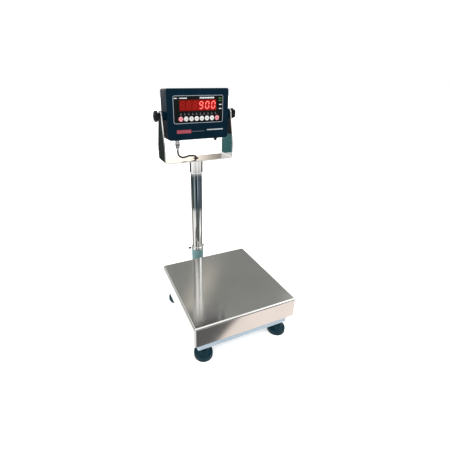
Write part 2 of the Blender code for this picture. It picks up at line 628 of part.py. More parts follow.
def make_indicator_face():
    middle = (OVERLAY_TOP + OVERLAY_BOTTOM) / 2
    height = OVERLAY_TOP - OVERLAY_BOTTOM
    front, back = face_y + 0.0001, face_y + OVERLAY_SHEET - GAP
    outline = rounded(OVERLAY_WIDTH, height, 0.005, 0, 4)
    sheet = [[(x, y, z + PIVOT_Z + middle) for x, z in outline] for y in (front, back)]
    overlay = place("overlay_panel", loft(sheet), "overlay", (0, face_y, PIVOT_Z))
    cut(overlay, place("cutter_overlay_window", window_block(GAP, face_y - 0.01, face_y + 0.01), None))
    holes = [key_hole(number, KEY_RADIUS + GAP) for number in range(KEY_COUNT)]
    cut(overlay, place("cutter_overlay_keys", merged(*holes), None))
    place("display_lens", window_block(0, front, wall_back), "window", (WINDOW_X, face_y, PIVOT_Z))
    module = window_block(-0.001, wall_back + GAP, wall_back + MODULE_DEPTH)
    place("led_module", module, "module", (WINDOW_X, wall_back, PIVOT_Z))
    for number in range(KEY_COUNT):
        make_key(number)


def make_key(number):
    centre = (key_x(number), face_y, PIVOT_Z + KEY_Z)
    r, back = KEY_RADIUS, KEY_LENGTH - KEY_OUT
    profile = [(0, -KEY_OUT - 0.0003), (r * 0.62, -KEY_OUT - 0.0001), (r - 0.0008, -KEY_OUT + 0.0001)]
    profile += [(r, -KEY_OUT + 0.0008), (r, back), (0, back)]
    kind = "key_red" if number in (0, KEY_COUNT - 1) else "key_white"
    place(f"key_{number + 1}", turned(profile, centre, "Y", 20), kind, centre)


def make_boards():
    board_front = wall_back + MODULE_DEPTH + GAP
    half, low, high = 0.078, PIVOT_Z - 0.019, PIVOT_Z + 0.050
    board = box((-half, board_front, low), (half, board_front + BOARD, high))
    display = place("display_board", board, "board", (0, board_front, PIVOT_Z))
    key_back = face_y + KEY_LENGTH - KEY_OUT
    for number in range(KEY_COUNT):
        x, z, half = key_x(number), PIVOT_Z + KEY_Z, 0.003
        start, end = key_back + 0.0015, board_front + 0.0005
        switch = box((x - half, start, z - half), (x + half, end, z + half))
        cut(display, place(f"cutter_switch_{number + 1}", switch, None), "UNION")
    main_front = rim(MAIN_BOARD_DEPTH)
    board = box((-0.070, main_front, PIVOT_Z - 0.045), (0.070, main_front + BOARD, PIVOT_Z + 0.050))
    main = place("main_board", board, "board", (0, main_front, PIVOT_Z))
    blocks = (
        ("terminals", -0.050, -0.035, 0.034, 0.010, 0.009),
        ("socket", 0.048, -0.035, 0.024, 0.012, 0.010),
        ("converter", -0.020, 0.020, 0.016, 0.016, 0.003),
        ("regulator", 0.045, 0.020, 0.016, 0.020, 0.008),
        ("processor", 0.012, 0.000, 0.018, 0.018, 0.003),
    )
    for label, x, z, width, height, depth in blocks:
        low = (x - width / 2, main_front - depth, PIVOT_Z + z - height / 2)
        high = (x + width / 2, main_front + 0.0005, PIVOT_Z + z + height / 2)
        cut(main, place("cutter_" + label, box(low, high), None), "UNION")


def lobed(radius, depth, inset, steps=30):
    """Rounded star outline of a clamping knob."""
    points = []
    for k in range(steps):
        turn = 2 * math.pi * k / steps
        reach = radius - inset - depth * (0.5 - 0.5 * math.cos(KNOB_LOBES * turn)) ** 1.5
        points.append((reach * math.cos(turn), reach * math.sin(turn)))
    return points


def make_knobs():
    arm_outer = YOKE_WIDTH / 2 + GAP
    hub = 0.0095
    for side, sign in (("left", -1), ("right", 1)):
        pivot = (sign * arm_outer, pivot_y, PIVOT_Z)
        circle = lobed(hub, 0, 0)
        sections = [(circle, 0.0), (circle, 0.0045)]
        steps = ((0.0015, 0.0052), (0, 0.0068), (0, KNOB_LENGTH - 0.0028))
        steps += ((0.0008, KNOB_LENGTH - 0.0010), (0.0030, KNOB_LENGTH))
        sections += [(lobed(KNOB_RADIUS, KNOB_DIP, inset), out) for inset, out in steps]
        loops = []
        for points, out in sections:
            loops.append([(sign * (arm_outer + out), pivot_y + y, PIVOT_Z + z) for y, z in points])
        knob = place("knob_" + side, loft(loops), "black_plastic", pivot)
        axis, seat_end = (0, pivot_y, PIVOT_Z), arm_outer + 0.011
        low, high = sorted((sign * (arm_outer - 0.001), sign * seat_end))
        seat = cylinder(STUD_BORE + GAP, low, high, axis, "X", 20)
        cut(knob, place("cutter_knob_" + side, seat, None))
        root = HOUSING_WIDTH / 2 - HOUSING_WALL - 0.0035
        low, high = sorted((sign * root, sign * (seat_end - GAP)))
        stud = cylinder(STUD_BORE, low, high, axis, "X", 20)
        place("knob_stud_" + side, stud, "zinc", pivot)


def make_fittings():
    y = pivot_y + FITTING_Y
    low = housing_bottom - GAP
    r, drop = CONNECTOR_RADIUS, CONNECTOR_DROP
    bore = CABLE / 2 + GAP
    centre = (-FITTING_X, y, low)
    profile = [(0, 0.010), (0.0045, 0.010), (0.0045, 0), (r + 0.0008, 0), (r + 0.0008, -0.0035)]
    profile += [(r - 0.0012, -0.0038), (r - 0.0012, -0.007), (r, -0.0072), (r, -0.0185)]
    profile += [(r - 0.001, -0.0192), (r - 0.001, -0.0245)]
    profile += [(r - 0.0022, -drop + 0.0015), (r - 0.0032, -drop), (bore, -drop)]
    profile += [(bore, -drop + 0.004), (0, -drop + 0.004)]
    place("cable_connector", turned(profile, centre, steps=20), "zinc", centre)
    centre = (FITTING_X, y, low)
    profile = [(0, 0.008), (0.0032, 0.008), (0.0032, 0), (0.0062, 0), (0.0062, -0.004)]
    profile += [(0.0048, -0.0045), (0.0044, -0.0085), (0.0032, -0.0095), (0, -0.0095)]
    place("power_gland", turned(profile, centre, steps=16), "black_plastic", centre)


def route(points, spacing):
    """Points of a smooth curve through the given ones, about one spacing apart."""
    knots = [Vector(point) for point in points]
    knots = [2 * knots[0] - knots[1], *knots, 2 * knots[-1] - knots[-2]]
    smooth = []
    for before, start, end, after in zip(knots, knots[1:], knots[2:], knots[3:]):
        count = max(1, round((end - start).length / spacing))
        for k in range(count):
            t = k / count
            bend = 2 * before - 5 * start + 4 * end - after
            twist = 3 * start - before - 3 * end + after
            smooth.append(0.5 * (2 * start + (end - before) * t + bend * t**2 + twist * t**3))
    return [*smooth, knots[-2]]


def make_cable(name, points, spacing):
    curve = bpy.data.curves.new(name, "CURVE")
    curve.dimensions = "3D"
    curve.bevel_depth = CABLE / 2
    curve.bevel_resolution = 2
    curve.use_fill_caps = True
    spline = curve.splines.new("POLY")
    smooth = route(points, spacing)
    spline.points.add(len(smooth) - 1)
    for vertex, point in zip(spline.points, smooth):
        vertex.co = (*point, 1.0)
    curve.materials.append(material("cable"))
    thing = bpy.data.objects.new(name, curve)
    bpy.context.collection.objects.link(thing)
    return thing


def make_cables():
    start = housing_bottom - GAP - CONNECTOR_DROP + 0.004 - GAP
    plate = YOKE_PLATE_TOP
    meeting = plate + 0.0038
    outside = [
        (-FITTING_X, pivot_y + FITTING_Y, start),
        (-FITTING_X, pivot_y + FITTING_Y, start - 0.010),
        (-FITTING_X + 0.0015, pivot_y + FITTING_Y, plate + 0.0185),
        (-0.0565, pivot_y - 0.0035, plate + 0.0112),
        (-0.0460, pivot_y - 0.0030, plate + 0.0080),
        (-0.0360, pivot_y - 0.0010, plate + 0.0090),
        (-0.0260, pivot_y + 0.0010, plate + 0.0106),
        (-0.0160, pivot_y + 0.0030, plate + 0.0100),
        (-0.0075, column_y - 0.0010, plate + 0.0086),
        (-0.0012, column_y, plate + 0.0066),
    ]
    make_cable("indicator_cable", outside, 0.010)
    entry = CABLE_ENTRY
    cell_end = platform_y + CELL_LENGTH / 2 + GAP
    inside = [
        (0, cell_end, cell_bottom + 0.007),
        (0, cell_end + 0.012, cell_bottom + 0.006),
        (0, cell_end + 0.034, entry + 0.006),
        (0, platform_y + FRAME_WIDTH / 2 - FRAME_RAIL - 0.006, entry),
        (0, platform_y + FRAME_WIDTH / 2, entry),
        (0, column_y - 0.030, entry),
        (0, column_y - 0.012, entry + 0.002),
        (0, column_y - 0.0015, entry + 0.014),
        (0, column_y, entry + 0.040),
        (0, column_y, plate - 0.060),
        (0, column_y, meeting),
    ]
    make_cable("column_cable", inside, 0.013)


def main():
    clear_scene()
    make_pan()
    make_frame()
    make_channel()
    make_load_cell()
    make_spacers()
    make_support()
    make_feet()
    make_column_bracket()
    make_clamp()
    make_column()
    make_yoke()
    make_front_housing()
    make_rear_cover()
    make_indicator_face()
    make_boards()
    make_knobs()
    make_fittings()
    make_cables()


main()
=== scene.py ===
"""Looks, camera and light for the bench scale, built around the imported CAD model."""

import json
import math

import bmesh
import bpy
from mathutils import Matrix, Vector


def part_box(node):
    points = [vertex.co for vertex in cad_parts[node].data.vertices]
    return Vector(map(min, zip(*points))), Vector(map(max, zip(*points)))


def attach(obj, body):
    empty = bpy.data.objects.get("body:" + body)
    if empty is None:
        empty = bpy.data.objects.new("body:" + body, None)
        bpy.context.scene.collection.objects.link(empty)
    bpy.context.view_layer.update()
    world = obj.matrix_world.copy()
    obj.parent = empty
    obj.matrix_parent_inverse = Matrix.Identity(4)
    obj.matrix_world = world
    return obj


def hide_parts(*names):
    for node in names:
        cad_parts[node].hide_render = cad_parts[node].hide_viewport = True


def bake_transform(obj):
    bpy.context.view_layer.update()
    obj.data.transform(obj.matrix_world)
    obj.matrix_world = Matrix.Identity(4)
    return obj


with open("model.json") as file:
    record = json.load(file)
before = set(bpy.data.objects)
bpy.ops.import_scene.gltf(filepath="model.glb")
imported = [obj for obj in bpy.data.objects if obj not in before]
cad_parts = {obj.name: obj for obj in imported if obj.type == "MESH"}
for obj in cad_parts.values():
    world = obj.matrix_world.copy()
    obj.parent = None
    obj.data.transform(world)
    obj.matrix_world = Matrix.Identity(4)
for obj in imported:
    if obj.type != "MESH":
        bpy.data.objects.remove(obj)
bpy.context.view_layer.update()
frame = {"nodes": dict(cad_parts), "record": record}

# ---------------------------------------------------------------- places read from the frame
record = frame["record"]
bodies_of = {node: body for body, nodes in record["behaviour"]["bodies"].items() for node in nodes}
joints = {joint["name"]: joint for joint in record["behaviour"]["joints"]}
slot_of = {part["node"]: part["material_slot"] for part in record["subparts"]}
pivot = Vector(joints["indicator_tilt"]["pos_m"])
pan_low, pan_high = (Vector(corner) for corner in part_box("weighing_pan"))
housing_low = Vector(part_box("front_housing")[0])
cover_low, cover_high = (Vector(corner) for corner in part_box("rear_cover"))
overlay_low, overlay_high = (Vector(corner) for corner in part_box("overlay_panel"))
lens_low, lens_high = (Vector(corner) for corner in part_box("display_lens"))
tube_low, tube_high = (Vector(corner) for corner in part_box("column_tube"))
yoke_low = Vector(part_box("yoke")[0])
column_y = (tube_low.y + tube_high.y) / 2
YOKE_SHEET = 0.003
plate_top = yoke_low.z + YOKE_SHEET
face_y = overlay_low.y

CORNERS = ("front_left", "front_right", "rear_left", "rear_right")
KEY_COUNT = 8
DIGITS = ("", "", "", "9", "0", "0")
SEGMENTS = {"9": "abcdfg", "0": "abcdef", "": ""}

# how far the edges of each kind of piece are broken
FINE_EDGE, SHEET_EDGE, MOULDED_EDGE, BENT_EDGE, TUBE_EDGE = 0.0003, 0.0004, 0.0005, 0.0006, 0.0008
CLEARANCE = 0.0003  # between touching pieces
PRINT_THICK = 0.0002
PRINT_PROUD = 0.00012  # how far a printed mark stands out of the panel
LINE_PROUD = 0.00015  # the same for the panel's border and the digits


# ---------------------------------------------------------------- camera
CAMERA_LENS, CAMERA_SENSOR = 22.46, 36.0  # mm
CAMERA_SHIFT_X, CAMERA_SHIFT_Y = 0.0535, -0.0193
CAMERA_LEFT, CAMERA_FRONT, CAMERA_UP = 0.3235, 0.6374, 0.5349  # from the middle of the pan's top
CAMERA_YAW, CAMERA_PITCH, CAMERA_ROLL = 0.375, 0.419, -0.011  # radians


def make_camera():
    """Camera at the height and turn that give the scale its view from the front left."""
    data = bpy.data.cameras.new("camera")
    data.lens = CAMERA_LENS
    data.sensor_width = CAMERA_SENSOR
    data.shift_x = CAMERA_SHIFT_X
    data.shift_y = CAMERA_SHIFT_Y
    data.clip_start = 0.01
    camera = bpy.data.objects.new("camera", data)
    bpy.context.collection.objects.link(camera)
    centre = (pan_low + pan_high) / 2
    camera.location = (-CAMERA_LEFT, centre.y - CAMERA_FRONT, pan_high.z + CAMERA_UP)
    heading = Matrix.Rotation(-CAMERA_YAW, 4, "Z")
    tilt = Matrix.Rotation(math.pi / 2 - CAMERA_PITCH, 4, "X")
    roll = Matrix.Rotation(CAMERA_ROLL, 4, "Z")
    camera.rotation_euler = (heading @ tilt @ roll).to_euler()
    bpy.context.scene.camera = camera


make_camera()


# ---------------------------------------------------------------- material helpers
STEEL_CLOUD, PLASTIC_CLOUD, SHEET_CLOUD, FLOOR_CLOUD = 9.0, 22.0, 7.0, 3.0  # scales of slow colour changes
BRUSH_DEPTH, GRAIN_DEPTH, SHEET_BRUSH_DEPTH = 0.00005, 0.0002, 0.00003
RANGE_SOCKETS = ("From Min", "From Max", "To Min", "To Max")


class Paint:
    """A Principled material and short calls for the nodes that feed it."""

    def __init__(self, name, colour, roughness, metallic=0.0):
        self.material = bpy.data.materials.new(name)
        self.material.use_nodes = True
        self.tree = self.material.node_tree
        self.shader = self.tree.nodes["Principled BSDF"]
        self.shader.inputs["Base Color"].default_value = (*colour, 1.0)
        self.shader.inputs["Roughness"].default_value = roughness
        self.shader.inputs["Metallic"].default_value = metallic
        self.coordinates = self.tree.nodes.new("ShaderNodeTexCoord").outputs["Object"]

    def node(self, kind, **values):
        made = self.tree.nodes.new(kind)
        for key, value in values.items():
            if hasattr(made, key):
                setattr(made, key, value)
            else:
                made.inputs[key].default_value = value
        return made

    def link(self, output, target):
        self.tree.links.new(output, target)

    def stretched(self, scale):
        mapping = self.node("ShaderNodeMapping")
        mapping.inputs["Scale"].default_value = scale
        self.link(self.coordinates, mapping.inputs["Vector"])
        return mapping.outputs["Vector"]

    def noise(self, vector, scale, detail=3.0, roughness=0.55):
        texture = self.node("ShaderNodeTexNoise", Scale=scale, Detail=detail, Roughness=roughness)
        self.link(vector, texture.inputs["Vector"])
        return texture.outputs["Fac"]

    def ramp(self, factor, low, high, low_at=0.3, high_at=0.7):
        ramp = self.node("ShaderNodeValToRGB")
        ramp.color_ramp.elements[0].position = low_at
        ramp.color_ramp.elements[1].position = high_at
        ramp.color_ramp.elements[0].color = (*low, 1.0)
        ramp.color_ramp.elements[1].color = (*high, 1.0)
        self.link(factor, ramp.inputs["Fac"])
        return ramp.outputs["Color"]

    def spread(self, factor, low, high, low_at=0.3, high_at=0.7):
        spread = self.node("ShaderNodeMapRange")
        for key, value in zip(RANGE_SOCKETS, (low_at, high_at, low, high)):
            spread.inputs[key].default_value = value
        self.link(factor, spread.inputs["Value"])
        return spread.outputs["Result"]

    def bump(self, height, strength, distance):
        bump = self.node("ShaderNodeBump", Strength=strength, Distance=distance)
        self.link(height, bump.inputs["Height"])
        self.link(bump.outputs["Normal"], self.shader.inputs["Normal"])

    def colour(self, output):
        self.link(output, self.shader.inputs["Base Color"])

    def roughness(self, output):
        self.link(output, self.shader.inputs["Roughness"])


def steel(name, colour, roughness, brush, fine, bump, metallic=1.0):
    """Brushed steel: fine lines along the axis whose brush scale is small."""
    paint = Paint(name, colour, roughness, metallic)
    lines = paint.noise(paint.stretched(brush), 1.0, 4.0, 0.7)
    cloud = paint.noise(paint.coordinates, STEEL_CLOUD, 2.0)
    paint.colour(paint.ramp(cloud, [c * 0.94 for c in colour], [min(1.0, c * 1.04) for c in colour]))
    paint.roughness(paint.spread(lines, roughness - fine, roughness + fine))
    paint.bump(lines, bump, BRUSH_DEPTH)
    return paint.material


def plastic(name, colour, roughness, grain, strength, shade=0.85, specular=0.5):
    """Moulded plastic or rubber: a fine spark-eroded grain and slightly uneven colour."""
    paint = Paint(name, colour, roughness)
    paint.shader.inputs["Specular IOR Level"].default_value = specular
    texture = paint.noise(paint.coordinates, grain, 3.0, 0.6)
    cloud = paint.noise(paint.coordinates, PLASTIC_CLOUD, 3.0)
    paint.colour(paint.ramp(cloud, [c * shade for c in colour], [min(1.0, c * 1.12) for c in colour]))
    paint.roughness(paint.spread(cloud, roughness - 0.05, roughness + 0.07))
    paint.bump(texture, strength, GRAIN_DEPTH)
    return paint.material


def board_paint():
    """Green circuit board with a fine pattern of tracks."""
    paint = Paint("circuit_board_finish", (0.012, 0.10, 0.04), 0.38)
    tracks = paint.node("ShaderNodeTexBrick", Scale=90.0)
    tracks.inputs["Color1"].default_value = (0.012, 0.095, 0.038, 1)
    tracks.inputs["Color2"].default_value = (0.016, 0.125, 0.050, 1)
    tracks.inputs["Mortar"].default_value = (0.05, 0.23, 0.10, 1)
    tracks.inputs["Mortar Size"].default_value = 0.03
    paint.link(paint.coordinates, tracks.inputs["Vector"])
    paint.colour(tracks.outputs["Color"])
    return paint.material


def glow(name, colour, strength):
    """Lit segment or print that gives off light; the segments that are off also get a faint painted glow from
    it.
    """
    paint = Paint(name, colour, 0.4)
    paint.shader.inputs["Emission Color"].default_value = (*colour, 1.0)
    paint.shader.inputs["Emission Strength"].default_value = strength
    paint.shader.inputs["Specular IOR Level"].default_value = 0.1
    cells = paint.noise(paint.coordinates, 900.0, 1.0)
    paint.bump(cells, 0.05, 0.0001)
    return paint.material


def window_paint():
    """Red display window: lit from behind towards the digits that are on."""
    paint = Paint("red_window_finish", (0.06, 0.003, 0.002), 0.12)
    paint.shader.inputs["Specular IOR Level"].default_value = 0.25
    split = paint.node("ShaderNodeSeparateXYZ")
    paint.link(paint.coordinates, split.inputs["Vector"])
    across = paint.spread(split.outputs["X"], 0.0, 1.0, lens_low.x, lens_high.x)
    cells = paint.noise(paint.coordinates, 260.0, 2.0)
    glowing = paint.node("ShaderNodeMath", operation="MULTIPLY_ADD")
    paint.link(cells, glowing.inputs[0])
    glowing.inputs[1].default_value = 0.25
    paint.link(across, glowing.inputs[2])
    paint.link(
        paint.ramp(glowing.outputs["Value"], (0.13, 0.004, 0.003), (0.30, 0.008, 0.006), 0.2, 1.0),
        paint.shader.inputs["Emission Color"],
    )
    paint.shader.inputs["Emission Strength"].default_value = 0.75
    return paint.material


GRAIN_SLANT = 0.5  # X over Y in the direction of the pan's grain


def pan_paint(name, roughness, anisotropic):
    """Brushed stainless sheet: reflections drawn out across the brush lines.

    The grain runs along X and Y on level faces and upright on the skirt."""
    paint = Paint(name, (0.60, 0.60, 0.585), roughness, 1.0)
    paint.shader.inputs["Anisotropic"].default_value = anisotropic
    normal = paint.tree.nodes.new("ShaderNodeNewGeometry").outputs["Normal"]
    split = paint.node("ShaderNodeSeparateXYZ")
    paint.link(normal, split.inputs["Vector"])
    flat = paint.node("ShaderNodeMath", operation="ABSOLUTE")
    paint.link(split.outputs["Z"], flat.inputs[0])
    upright = paint.node("ShaderNodeMath", operation="SUBTRACT")
    upright.inputs[0].default_value = 1.0
    paint.link(flat.outputs["Value"], upright.inputs[1])
    grain = paint.node("ShaderNodeCombineXYZ")
    across = paint.node("ShaderNodeMath", operation="MULTIPLY")
    across.inputs[1].default_value = GRAIN_SLANT
    paint.link(flat.outputs["Value"], across.inputs[0])
    paint.link(across.outputs["Value"], grain.inputs["X"])
    paint.link(flat.outputs["Value"], grain.inputs["Y"])
    paint.link(upright.outputs["Value"], grain.inputs["Z"])
    paint.link(grain.outputs["Vector"], paint.shader.inputs["Tangent"])
    lines = paint.noise(paint.stretched((6, 2600, 2600)), 1.0, 4.0, 0.7)
    cloud = paint.noise(paint.coordinates, SHEET_CLOUD, 2.0)
    paint.colour(paint.ramp(cloud, (0.57, 0.57, 0.555), (0.62, 0.62, 0.605)))
    paint.roughness(paint.spread(lines, roughness - 0.02, roughness + 0.02))
    paint.bump(lines, 0.02, SHEET_BRUSH_DEPTH)
    return paint.material


PAINTS = {
    "stainless": pan_paint("stainless_finish", 0.13, 0.75),
    "skirt": pan_paint("skirt_finish", 0.075, 0.0),
    "frame": steel("frame_finish", (0.36, 0.45, 0.52), 0.50, (8, 900, 900), 0.05, 0.08, metallic=0.1),
    "socket": plastic("socket_finish", (0.15, 0.26, 0.275), 0.45, 900.0, 0.10, shade=0.9, specular=0.3),
    "polished_steel": steel("polished_finish", (0.72, 0.72, 0.71), 0.05, (900, 900, 5), 0.015, 0.008),
    "satin": steel("satin_finish", (0.80, 0.79, 0.775), 0.06, (900, 900, 5), 0.02, 0.01),
    "yoke": steel("yoke_finish", (0.68, 0.675, 0.66), 0.09, (5, 900, 900), 0.02, 0.012),
    "aluminium": steel("aluminium_finish", (0.66, 0.67, 0.68), 0.38, (700, 12, 700), 0.06, 0.08),
    "zinc_steel": steel("zinc_finish", (0.60, 0.60, 0.57), 0.30, (300, 300, 300), 0.08, 0.05),
    "housing_plastic": plastic("housing_finish", (0.0001, 0.0088, 0.0185), 0.38, 1400.0, 0.16, specular=0.06),
    "overlay": plastic("overlay_finish", (0.0030, 0.0036, 0.0036), 0.24, 1800.0, 0.05, specular=0.2),
    "red_window": window_paint(),
    "module_plastic": plastic("module_finish", (0.03, 0.03, 0.03), 0.5, 700.0, 0.1),
    "circuit_board": board_paint(),
    "key_white": plastic("key_white_finish", (0.52, 0.52, 0.52), 0.42, 1500.0, 0.05, shade=0.95),
    "key_red": plastic("key_red_finish", (0.58, 0.20, 0.24), 0.42, 1500.0, 0.05, shade=0.93),
    "black_plastic": plastic(
        "black_plastic_finish", (0.004, 0.0065, 0.009), 0.34, 1100.0, 0.12, specular=0.12
    ),
    "rubber": plastic("rubber_finish", (0.0004, 0.024, 0.038), 0.36, 900.0, 0.16, 0.7, specular=0.16),
    "cable_jacket": plastic("cable_finish", (0.004, 0.004, 0.005), 0.42, 1200.0, 0.10, specular=0.25),
    "border": plastic("border_print", (0.23, 0.27, 0.32), 0.45, 1500.0, 0.03, shade=0.95),
    "print_white": plastic("white_print", (0.55, 0.56, 0.58), 0.5, 1500.0, 0.03, shade=0.95),
    "strip": plastic("strip_print", (0.30, 0.32, 0.33), 0.5, 1500.0, 0.03, shade=0.95),
    "chrome": steel("chrome_finish", (0.50, 0.51, 0.52), 0.12, (300, 300, 300), 0.03, 0.02),
    "print_grey": plastic("grey_print", (0.12, 0.13, 0.14), 0.5, 1500.0, 0.03, shade=0.95),
    "print_dark": plastic("dark_print", (0.06, 0.06, 0.07), 0.5, 1500.0, 0.03, shade=0.95),
    "print_red": plastic("red_print", (0.25, 0.030, 0.050), 0.45, 1500.0, 0.03, shade=0.92),
    "lamp_green": glow("green_lamp", (0.05, 0.16, 0.05), 0.5),
    "digit_on": glow("lit_segment", (1.0, 0.10, 0.09), 1.6),
    # segments that are off: a faint painted glow, though they give off no light
    "digit_off_painted_glow": glow("unlit_segment_painted_glow", (0.19, 0.006, 0.004), 0.8),
}


# ---------------------------------------------------------------- shape helpers
def add(name, body_mesh, paint, body, smooth=35):
    """Make a piece from a bmesh in the row frame, finish it and let it ride on its body."""
    bmesh.ops.recalc_face_normals(body_mesh, faces=body_mesh.faces)
    mesh = bpy.data.meshes.new(name)
    body_mesh.to_mesh(mesh)
    body_mesh.free()
    mesh.shade_smooth()
    mesh.set_sharp_from_angle(angle=math.radians(smooth))
    mesh.materials.append(PAINTS[paint])
    piece = bpy.data.objects.new(name, mesh)
    bpy.context.collection.objects.link(piece)
    if body:
        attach(piece, body)
    return piece


def soft_edges(piece, width, segments=2):
    """Break the sharp edges of a piece and keep its flat faces level in shading."""
    bevel = piece.modifiers.new("edge_break", "BEVEL")
    bevel.width = width
    bevel.segments = segments
    bevel.limit_method = "ANGLE"
    bevel.angle_limit = math.radians(32)
    bevel.harden_normals = True
    level = piece.modifiers.new("level_faces", "WEIGHTED_NORMAL")
    level.keep_sharp = True


def painted(node, paint):
    """Give a CAD node that stays as it is its finish."""
    materials = frame["nodes"][node].data.materials
    materials.clear()
    materials.append(PAINTS[paint])


def finished(node, paint=None, edge=0.0):
    """A smooth-shaded copy of a CAD node, with its edges broken, that stands for it."""
    mesh_data = bmesh.new()
    mesh_data.from_mesh(frame["nodes"][node].data)
    merge, flat = 0.00002, math.radians(0.6)
    bmesh.ops.remove_doubles(mesh_data, verts=mesh_data.verts, dist=merge)
    bmesh.ops.dissolve_limit(mesh_data, angle_limit=flat, verts=mesh_data.verts, edges=mesh_data.edges)
    slot = slot_of[node]
    piece = add("fine_" + node, mesh_data, paint or slot, bodies_of[node])
    if edge:
        soft_edges(piece, edge)
    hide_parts(node)
    return piece


def loft(loops, closed=False):
    """Skin over loops of equal length; closed joins the last loop to the first instead of capping both."""
    mesh_data = bmesh.new()
    rings = [[mesh_data.verts.new(point) for point in loop] for loop in loops]
    pairs = list(zip(rings, rings[1:]))
    if closed:
        pairs.append((rings[-1], rings[0]))
    for low, high in pairs:
        for i in range(len(low)):
            j = (i + 1) % len(low)
            mesh_data.faces.new((low[i], low[j], high[j], high[i]))
    if not closed:
        mesh_data.faces.new(rings[0])
        mesh_data.faces.new(rings[-1])
    return mesh_data


SMALLEST_RADIUS = 0.00002  # where a turned profile meets its axis


def turned(profile, centre, axis="Z", steps=64, radius_at=None):
    """Body of revolution from (radius, height) pairs; radius_at may change a radius with the turn."""
    loops = []
    frames = {
        "Y": lambda a, b, h: Vector((b, h, a)),
        "Z": lambda a, b, h: Vector((a, b, h)),
    }
    for radius, height in profile:
        loop = []
        for k in range(steps):
            turn = 2 * math.pi * k / steps
            reach = radius_at(radius, height, turn) if radius_at else radius
            reach = max(reach, SMALLEST_RADIUS)
            place = frames[axis](reach * math.cos(turn), reach * math.sin(turn), height)
            loop.append(Vector(centre) + place)
        loops.append(loop)
    on_axis = 0.0001
    is_ring = min(profile[0][0], profile[-1][0]) > on_axis
    return loft(loops, closed=is_ring)


def rounded(width, height, radius, inset=0.0, steps=6):
    """Outline of a rounded rectangle round the origin, moved inwards by inset."""
    half_w, half_h = width / 2 - inset, height / 2 - inset
    bend = max(radius - inset, 0.0002)
    points = []
    for corner, (sx, sy) in enumerate(((1, 1), (-1, 1), (-1, -1), (1, -1))):
        for k in range(steps + 1):
            turn = math.pi / 2 * (corner + k / steps)
            x = sx * (half_w - bend) + bend * math.cos(turn)
            y = sy * (half_h - bend) + bend * math.sin(turn)
            points.append((x, y))
    return points


def plate_mesh(x, z, width, height, front, thick, radius):
    """Flat plate facing -Y with rounded corners."""
    outline = rounded(width, height, radius, steps=3)
    return loft([[Vector((x + px, y, z + pz)) for px, pz in outline] for y in (front, front + thick)])


def joined(meshes):
    """One bmesh made of several, which are used up."""
    whole = bmesh.new()
    for part in meshes:
        holder = bpy.data.meshes.new("part")
        part.to_mesh(holder)
        part.free()
        whole.from_mesh(holder)
        bpy.data.meshes.remove(holder)
    return whole


# ---------------------------------------------------------------- platform
def make_pan():
    """The pan as one bent sheet, skinned from its top over the skirt's hem to the inside."""
    size = pan_high.x - pan_low.x
    centre_y = (pan_low.y + pan_high.y) / 2
    bend, inner_bend, sheet, corner = 0.0045, 0.002, 0.0015, 0.0048
    margin = 0.0006  # narrow rings beside the bend keep the flat faces' normals level
    hem, hem_inside = 0.0004, 0.0003
    loops = []

    def ring(inset, z):
        loops.append([(x, y + centre_y, z) for x, y in rounded(size, size, corner, inset)])

    ring(bend + margin, pan_high.z)
    for k in range(9):
        turn = math.pi / 2 * (1 - k / 8)
        ring(bend * (1 - math.cos(turn)), pan_high.z - bend * (1 - math.sin(turn)))
    ring(0, pan_high.z - bend - margin)
    ring(0, pan_low.z + hem)
    ring(hem, pan_low.z)
    ring(sheet - hem_inside, pan_low.z)
    ring(sheet, pan_low.z + hem)
    for k in range(5):
        turn = math.pi / 2 * k / 4
        ring(sheet + inner_bend * (1 - math.cos(turn)), pan_high.z - bend + inner_bend * math.sin(turn))
    pan = add("pan_sheet", loft(loops), "stainless", "pan")
    pan.data.materials.append(PAINTS["skirt"])
    nearly_upright = 0.15
    for face in pan.data.polygons:
        if face.normal.z < nearly_upright:
            face.material_index = 1
    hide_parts("weighing_pan")


def flutes(depth, count, low, high, core):
    """Radius rule for finger flutes between two heights, outside a core radius."""

    def rule(radius, height, turn):
        if radius < core or not low < height < high:
            return radius
        return radius - depth * (0.5 + 0.5 * math.cos(count * turn)) ** 3

    return rule


def make_feet():
    """Rubber feet with finger flutes, their studs and lock nuts."""
    grip = flutes(depth=0.0011, count=24, low=0.0035, high=0.0150, core=0.02)
    for corner in CORNERS:
        node = "foot_pad_" + corner
        low, high = (Vector(c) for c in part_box(node))
        centre = ((low.x + high.x) / 2, (low.y + high.y) / 2, 0)
        r, h = (high.x - low.x) / 2, high.z
        sole = [(0, 0.0008), (0.012, 0.0008), (0.013, 0), (r - 0.0028, 0), (r - 0.0010, 0.0008)]
        rim = [(r - 0.0002, 0.0022), (r, 0.0040), (r, 0.0085), (r - 0.0005, 0.0090), (r, 0.0095)]
        rim += [(r, 0.0135), (r - 0.0006, 0.0155), (r - 0.0020, 0.0168), (r - 0.0038, 0.0172)]
        neck = [(0.0185, 0.0185), (0.0152, 0.0212), (0.0138, 0.0240)]
        neck += [(0.0134, h - 0.0016), (0.0130, h - 0.0004), (0.0122, h)]
        bore = [(0.0062, h), (0.0053, h - 0.0008), (0.0053, 0.008), (0, 0.008)]
        mesh_data = turned(sole + rim + neck + bore, centre, steps=96, radius_at=grip)
        pad = add("fine_" + node, mesh_data, "rubber", "foot_" + corner, 40)
        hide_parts(node)
        finished("foot_stud_" + corner)
        finished("foot_nut_" + corner, edge=BENT_EDGE)


def make_base():
    """Frame, bracket, load cell and the support under the pan."""
    finished("base_frame", "frame", TUBE_EDGE)
    finished("cross_channel", "frame", SHEET_EDGE)
    finished("column_bracket", "socket", SHEET_EDGE)
    finished("platter_support", edge=TUBE_EDGE)
    for node in ("load_cell", "lower_spacer", "upper_spacer", "bracket_bolt_left", "bracket_bolt_right"):
        finished(node, edge=FINE_EDGE)
    for corner in CORNERS:
        finished("pan_pad_" + corner)


